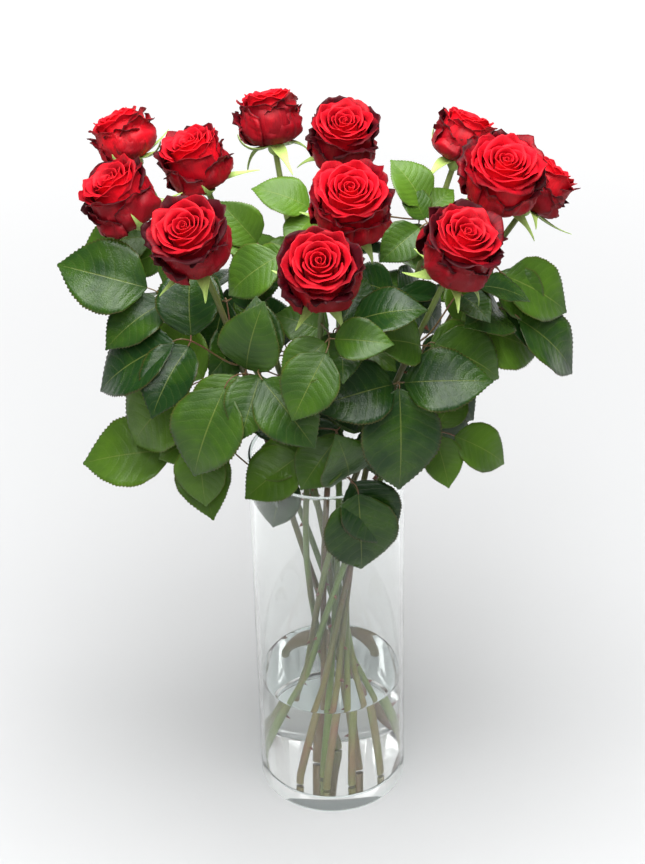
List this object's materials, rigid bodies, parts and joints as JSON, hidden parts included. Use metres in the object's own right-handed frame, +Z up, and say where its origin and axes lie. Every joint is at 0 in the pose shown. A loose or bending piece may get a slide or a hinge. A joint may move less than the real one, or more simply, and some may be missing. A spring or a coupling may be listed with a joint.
{
  "type": "roses in a vase",
  "caption": "Long-stemmed red roses with glossy compound leaves standing in water in a straight clear glass cylinder vase.",
  "frame": {"origin": "centre of the vase's flat underside", "axes": "+Z up along the vase's axis, -Y towards the front of the bouquet, +X to the right seen from the front"},
  "size_m": [0.4782, 0.37, 0.7271],
  "materials": {
    "vase_glass": "clear polished glass with a faint grey-green tint at the thick floor and rim",
    "water_clear": "clear still water",
    "stem_green": "smooth waxy green stem with red-brown patches and thorns, pale green sepals",
    "petal_red": "soft velvety red petals, darker on the outer backs",
    "leaf_green": "waxy dark green leaf with a broad pale sheen"
  },
  "bodies": {
    "root": {"vase": "vase_glass", "water": "water_clear", "stem_a": "stem_green", "stem_b": "stem_green", "stem_c": "stem_green", "stem_d": "stem_green", "stem_e": "stem_green", "stem_f": "stem_green", "stem_g": "stem_green", "stem_h": "stem_green", "stem_i": "stem_green", "stem_j": "stem_green", "stem_k": "stem_green", "stem_l": "stem_green", "bloom_a": "petal_red", "bloom_b": "petal_red", "bloom_c": "petal_red", "bloom_d": "petal_red", "bloom_e": "petal_red", "bloom_f": "petal_red", "bloom_g": "petal_red", "bloom_h": "petal_red", "bloom_i": "petal_red", "bloom_j": "petal_red", "bloom_k": "petal_red", "bloom_l": "petal_red", "leaf_01": "leaf_green", "leaf_02": "leaf_green", "leaf_03": "leaf_green", "leaf_04": "leaf_green", "leaf_05": "leaf_green", "leaf_06": "leaf_green", "leaf_07": "leaf_green", "leaf_08": "leaf_green", "leaf_09": "leaf_green", "leaf_10": "leaf_green", "leaf_11": "leaf_green", "leaf_12": "leaf_green", "leaf_13": "leaf_green", "leaf_14": "leaf_green", "leaf_15": "leaf_green", "leaf_16": "leaf_green", "leaf_17": "leaf_green", "leaf_18": "leaf_green", "leaf_19": "leaf_green", "leaf_20": "leaf_green", "leaf_21": "leaf_green", "leaf_22": "leaf_green", "leaf_23": "leaf_green", "leaf_24": "leaf_green", "leaf_25": "leaf_green", "leaf_26": "leaf_green", "leaf_27": "leaf_green", "leaf_28": "leaf_green", "leaf_29": "leaf_green", "leaf_30": "leaf_green", "leaf_31": "leaf_green", "leaf_32": "leaf_green", "leaf_33": "leaf_green", "leaf_34": "leaf_green"}
  },
  "joints": []
}
